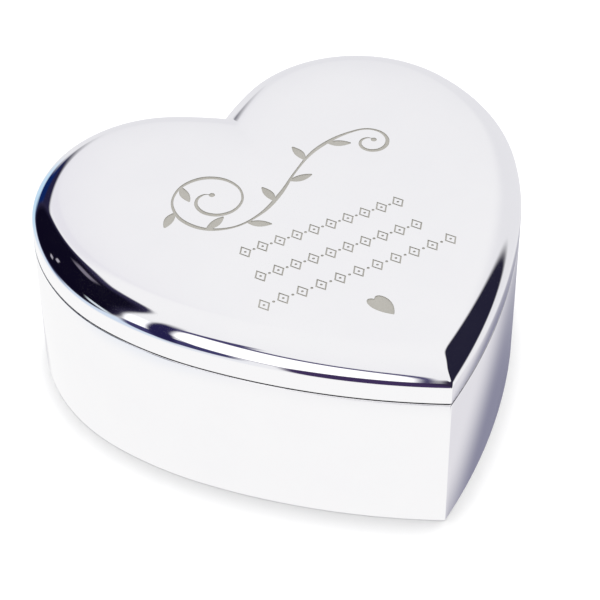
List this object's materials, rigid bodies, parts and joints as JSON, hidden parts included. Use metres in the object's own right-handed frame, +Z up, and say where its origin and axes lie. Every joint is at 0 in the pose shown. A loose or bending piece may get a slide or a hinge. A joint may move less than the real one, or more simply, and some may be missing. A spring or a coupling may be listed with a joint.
{
  "type": "heart-shaped trinket box",
  "caption": "Heart-shaped trinket box of polished plated metal with straight walls, a flush domed lift-off lid and a velvet lining.",
  "frame": {"origin": "centre of the heart's bounding box on the plane of the felt underside, which the box stands on", "axes": "+Z up through the lid, +X across the two lobes to the right, +Y from the heart's tip towards its cleft"},
  "size_m": [0.09, 0.0886, 0.0375],
  "materials": {
    "silver_plate": "mirror-polished silver or nickel plate",
    "velvet": "short-pile black velvet",
    "felt": "pressed charcoal felt",
    "card": "raw greyboard",
    "foam": "open-cell foam"
  },
  "bodies": {
    "box": {"body_wall": "silver_plate", "base_plate": "silver_plate", "base_felt": "felt", "locating_collar": "silver_plate", "wall_card": "card", "wall_velvet": "velvet", "floor_card": "card", "floor_foam": "foam", "floor_velvet": "velvet"},
    "lid": {"lid_shell": "silver_plate", "lid_foam": "foam", "lid_card": "card", "lid_velvet": "velvet"}
  },
  "joints": [
    {"name": "lid_lift", "type": "slide", "parent": "box", "child": "lid", "axis": [0, 0, 1], "range_m": [0, 0.06]}
  ]
}
